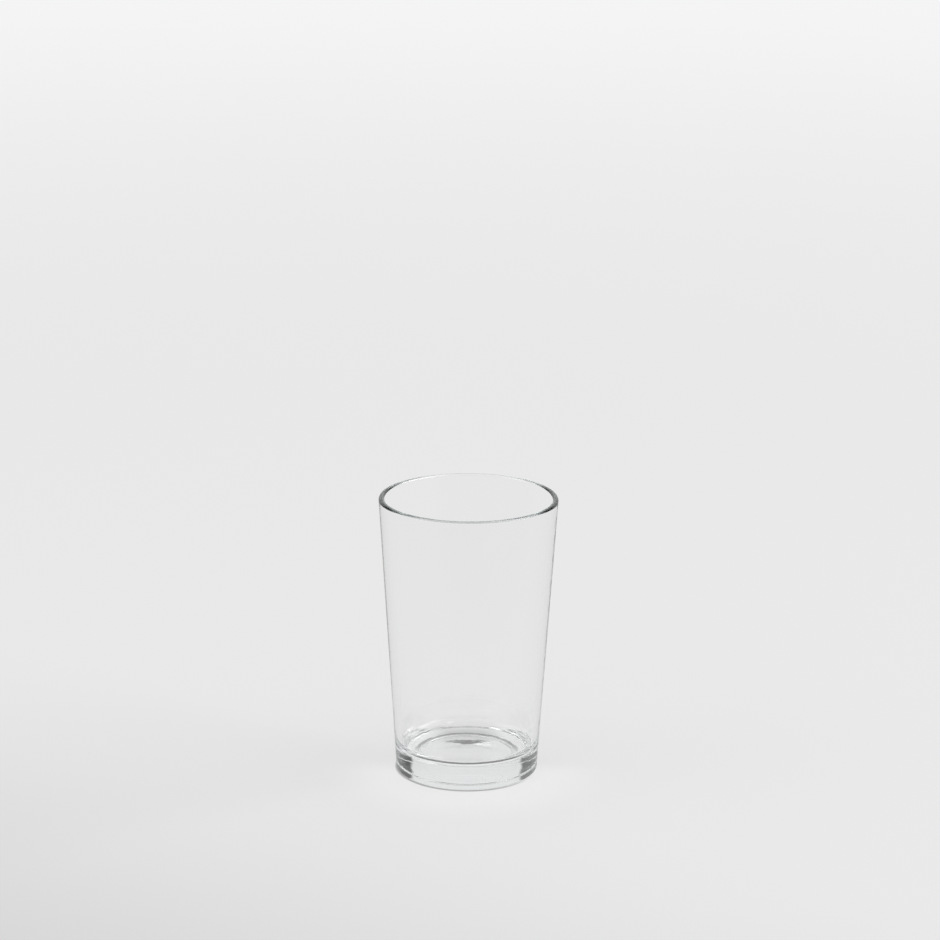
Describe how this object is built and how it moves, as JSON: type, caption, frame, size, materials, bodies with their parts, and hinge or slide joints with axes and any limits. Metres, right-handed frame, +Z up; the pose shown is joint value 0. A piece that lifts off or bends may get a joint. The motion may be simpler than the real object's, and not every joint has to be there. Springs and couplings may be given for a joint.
{
  "type": "water glass",
  "caption": "Empty conical water tumbler in clear pressed glass with a thick base, a rounded rim and a flat ring to stand on.",
  "frame": {"origin": "centre of the foot, on the table that the glass stands on", "axes": "+Z up along the glass's axis, from the foot to the rim; the glass is round, so X and Y are alike"},
  "size_m": [0.066, 0.066, 0.105],
  "materials": {
    "clear_glass": "clear soda-lime glass, fire-polished, with a very faint green tint in the thick base"
  },
  "bodies": {
    "root": {"tumbler": "clear_glass"}
  },
  "joints": []
}
